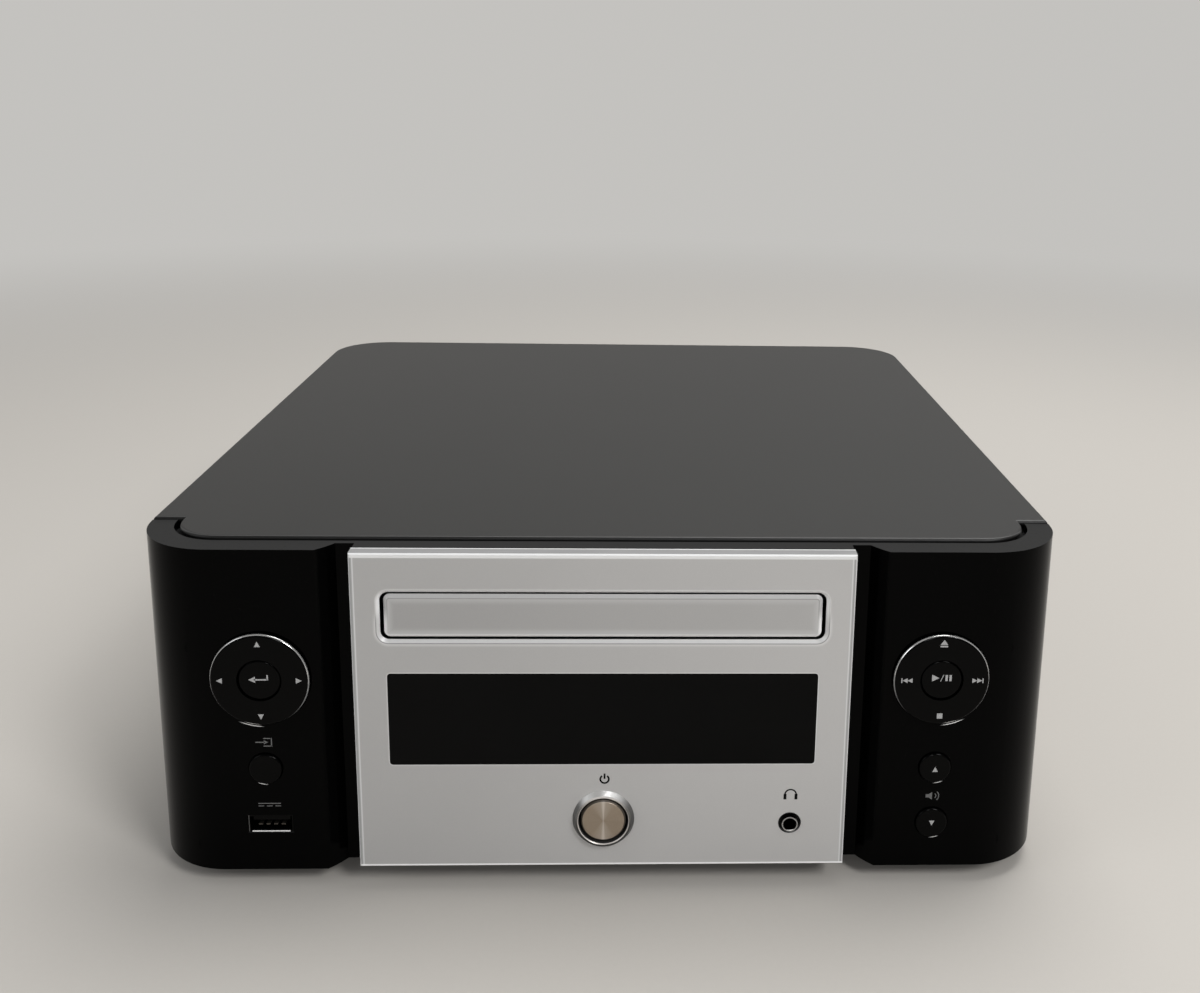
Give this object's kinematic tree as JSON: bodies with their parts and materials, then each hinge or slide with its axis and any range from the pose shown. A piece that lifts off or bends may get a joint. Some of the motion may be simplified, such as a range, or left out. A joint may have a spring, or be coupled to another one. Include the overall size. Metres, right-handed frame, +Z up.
{
  "type": "cd receiver",
  "caption": "Compact disc receiver: satin steel cover, gloss black wings with round keys, thick clear plate with disc tray, screen, power key and phones socket.",
  "frame": {"origin": "centre of the whole part's bounding box in X and Y, on the shelf under the feet", "axes": "+Z up, +Y from the front to the rear, +X to the right seen from the front"},
  "size_m": [0.28, 0.303, 0.111],
  "materials": {
    "bezel_black": "gloss",
    "plate_silver": "clear over silver backing",
    "window_black": "gloss",
    "cover_grey": "satin",
    "sheet_steel": "zinc plated",
    "rear_black": "fine texture",
    "silver_metal": "polished",
    "cap_champagne": "spun",
    "button_black": "gloss",
    "jack_black": "satin",
    "jack_sleeve": "nickel",
    "socket_steel": "nickel",
    "board_green": "solder mask",
    "display_glass": "gloss",
    "switch_body": "satin",
    "foot_black": "satin",
    "pad_rubber": "matte",
    "screw_steel": "black zinc",
    "tray_black": "fine texture",
    "frame_black": "satin",
    "gear_white": "satin",
    "motor_steel": "plated",
    "belt_rubber": "matte",
    "rod_steel": "ground",
    "lens_glass": "coated",
    "pickup_grey": "glass filled",
    "sink_aluminium": "black anodised",
    "can_black": "sleeve",
    "core_steel": "lacquered",
    "inlet_black": "satin",
    "terminal_plastic": "gloss",
    "terminal_red": "gloss",
    "terminal_black": "gloss"
  },
  "bodies": {
    "case_body": {"front_bezel": "bezel_black", "front_plate": "plate_silver", "display_window": "window_black", "display_module": "display_glass", "front_board": "board_green", "tact_switches": "switch_body", "power_button_bezel": "silver_metal", "phones_jack": "jack_black", "phones_jack_sleeve": "jack_sleeve", "usb_port": "socket_steel", "top_cover": "cover_grey", "bottom_chassis": "sheet_steel", "rear_panel": "rear_black", "screws": "screw_steel", "feet": "foot_black", "foot_pads": "pad_rubber", "main_board": "board_green", "power_board": "board_green", "heat_sink": "sink_aluminium", "capacitors": "can_black", "transformer": "core_steel", "ac_inlet": "inlet_black", "speaker_terminals": "terminal_plastic", "rca_jacks": "socket_steel", "network_jack": "socket_steel", "antenna_jack": "socket_steel", "loader_frame": "frame_black", "loader_brackets": "sheet_steel", "loading_motor": "motor_steel", "loading_belt": "belt_rubber", "clamp_bridge": "sheet_steel"},
    "tray_body": {"tray": "tray_black", "tray_fascia": "plate_silver"},
    "loading_gear_body": {"loading_gear": "gear_white"},
    "pulley_gear_body": {"loading_pulley_gear": "gear_white"},
    "motor_pulley_body": {"motor_pulley": "gear_white"},
    "cam_body": {"cam_slider": "gear_white"},
    "traverse_body": {"traverse_frame": "frame_black", "guide_rods": "rod_steel", "spindle_motor": "motor_steel", "sled_motor": "motor_steel"},
    "spindle_body": {"spindle_turntable": "frame_black"},
    "pickup_body": {"laser_pickup": "pickup_grey", "objective_lens": "lens_glass"},
    "lead_screw_body": {"lead_screw": "rod_steel"},
    "clamp_body": {"clamp_puck": "frame_black"},
    "power_button_body": {"power_button": "cap_champagne"},
    "enter_button_body": {"enter_button": "button_black"},
    "play_button_body": {"play_button": "button_black"},
    "input_button_body": {"input_button": "button_black"},
    "volume_up_body": {"volume_up_button": "button_black"},
    "volume_down_body": {"volume_down_button": "button_black"},
    "menu_spider_body": {"menu_ring_spider": "jack_black"},
    "menu_ring_body": {"menu_ring": "button_black"},
    "transport_spider_body": {"transport_ring_spider": "jack_black"},
    "transport_ring_body": {"transport_ring": "button_black"},
    "terminal_cap_1_body": {"terminal_cap_1": "terminal_red"},
    "terminal_cap_2_body": {"terminal_cap_2": "terminal_black"},
    "terminal_cap_3_body": {"terminal_cap_3": "terminal_black"},
    "terminal_cap_4_body": {"terminal_cap_4": "terminal_red"}
  },
  "joints": [
    {"name": "tray_slide", "type": "slide", "parent": "case_body", "child": "tray_body", "axis": [0, -1, 0], "range_m": [0, 0.135]},
    {"name": "loading_gear_spin", "type": "hinge", "parent": "case_body", "child": "loading_gear_body", "pos_m": [-0.04735, -0.1161, 0.084], "axis": [0, 0, 1], "range_deg": [0, 865]},
    {"name": "pulley_gear_spin", "type": "hinge", "parent": "case_body", "child": "pulley_gear_body", "pos_m": [-0.0296, -0.1161, 0.08], "axis": [0, 0, 1], "range_deg": [-2300, 0]},
    {"name": "motor_pulley_spin", "type": "hinge", "parent": "case_body", "child": "motor_pulley_body", "pos_m": [0.005, -0.1161, 0.079], "axis": [0, 0, 1], "range_deg": [-5700, 0]},
    {"name": "traverse_lift", "type": "hinge", "parent": "case_body", "child": "traverse_body", "pos_m": [0, 0.0174, 0.08], "axis": [1, 0, 0], "range_deg": [0, 3.4]},
    {"name": "cam_slide", "type": "slide", "parent": "case_body", "child": "cam_body", "axis": [1, 0, 0], "range_m": [0, 0.018]},
    {"name": "spindle_spin", "type": "hinge", "parent": "traverse_body", "child": "spindle_body", "pos_m": [0, -0.0726, 0.085], "axis": [0, 0, 1], "continuous": true},
    {"name": "pickup_slide", "type": "slide", "parent": "traverse_body", "child": "pickup_body", "axis": [0, 1, 0], "range_m": [0, 0.036]},
    {"name": "lead_screw_spin", "type": "hinge", "parent": "traverse_body", "child": "lead_screw_body", "pos_m": [-0.02, -0.0476, 0.0826], "axis": [0, 1, 0], "range_deg": [0, 4330]},
    {"name": "clamp_spin", "type": "hinge", "parent": "case_body", "child": "clamp_body", "pos_m": [0, -0.0726, 0.097], "axis": [0, 0, 1], "continuous": true},
    {"name": "power_button_press", "type": "slide", "parent": "case_body", "child": "power_button_body", "axis": [0, 1, 0], "range_m": [0, 0.0008], "stiffness_N_per_m": 1500},
    {"name": "enter_button_press", "type": "slide", "parent": "case_body", "child": "enter_button_body", "axis": [0, 1, 0], "range_m": [0, 0.0008], "stiffness_N_per_m": 1500},
    {"name": "play_button_press", "type": "slide", "parent": "case_body", "child": "play_button_body", "axis": [0, 1, 0], "range_m": [0, 0.0008], "stiffness_N_per_m": 1500},
    {"name": "input_button_press", "type": "slide", "parent": "case_body", "child": "input_button_body", "axis": [0, 1, 0], "range_m": [0, 0.0008], "stiffness_N_per_m": 1500},
    {"name": "volume_up_press", "type": "slide", "parent": "case_body", "child": "volume_up_body", "axis": [0, 1, 0], "range_m": [0, 0.0008], "stiffness_N_per_m": 1500},
    {"name": "volume_down_press", "type": "slide", "parent": "case_body", "child": "volume_down_body", "axis": [0, 1, 0], "range_m": [0, 0.0008], "stiffness_N_per_m": 1500},
    {"name": "menu_ring_tilt_up", "type": "hinge", "parent": "case_body", "child": "menu_spider_body", "pos_m": [-0.1021, -0.1421, 0.0698], "axis": [1, 0, 0], "range_deg": [-1.6, 1.6], "stiffness_Nm_per_rad": 0.6},
    {"name": "menu_ring_tilt_side", "type": "hinge", "parent": "menu_spider_body", "child": "menu_ring_body", "pos_m": [-0.1021, -0.1421, 0.0698], "axis": [0, 0, 1], "range_deg": [-1.6, 1.6], "stiffness_Nm_per_rad": 0.6},
    {"name": "transport_ring_tilt_up", "type": "hinge", "parent": "case_body", "child": "transport_spider_body", "pos_m": [0.1021, -0.1421, 0.0698], "axis": [1, 0, 0], "range_deg": [-1.6, 1.6], "stiffness_Nm_per_rad": 0.6},
    {"name": "transport_ring_tilt_side", "type": "hinge", "parent": "transport_spider_body", "child": "transport_ring_body", "pos_m": [0.1021, -0.1421, 0.0698], "axis": [0, 0, 1], "range_deg": [-1.6, 1.6], "stiffness_Nm_per_rad": 0.6},
    {"name": "terminal_cap_1_turn", "type": "hinge", "parent": "case_body", "child": "terminal_cap_1_body", "pos_m": [-0.012, 0.1474, 0.034], "axis": [0, 1, 0], "range_deg": [0, 1080]},
    {"name": "terminal_cap_2_turn", "type": "hinge", "parent": "case_body", "child": "terminal_cap_2_body", "pos_m": [0.007, 0.1474, 0.034], "axis": [0, 1, 0], "range_deg": [0, 1080]},
    {"name": "terminal_cap_3_turn", "type": "hinge", "parent": "case_body", "child": "terminal_cap_3_body", "pos_m": [0.026, 0.1474, 0.034], "axis": [0, 1, 0], "range_deg": [0, 1080]},
    {"name": "terminal_cap_4_turn", "type": "hinge", "parent": "case_body", "child": "terminal_cap_4_body", "pos_m": [0.045, 0.1474, 0.034], "axis": [0, 1, 0], "range_deg": [0, 1080]}
  ],
  "couplings": [
    {"joint": "loading_gear_spin", "follows": "tray_slide", "rad_per_m": 111.11},
    {"joint": "pulley_gear_spin", "follows": "tray_slide", "rad_per_m": -296.3},
    {"joint": "motor_pulley_spin", "follows": "tray_slide", "rad_per_m": -729.9},
    {"joint": "cam_slide", "follows": "traverse_lift", "m_per_rad": 0.30312},
    {"joint": "lead_screw_spin", "follows": "pickup_slide", "rad_per_m": 2094.4}
  ]
}
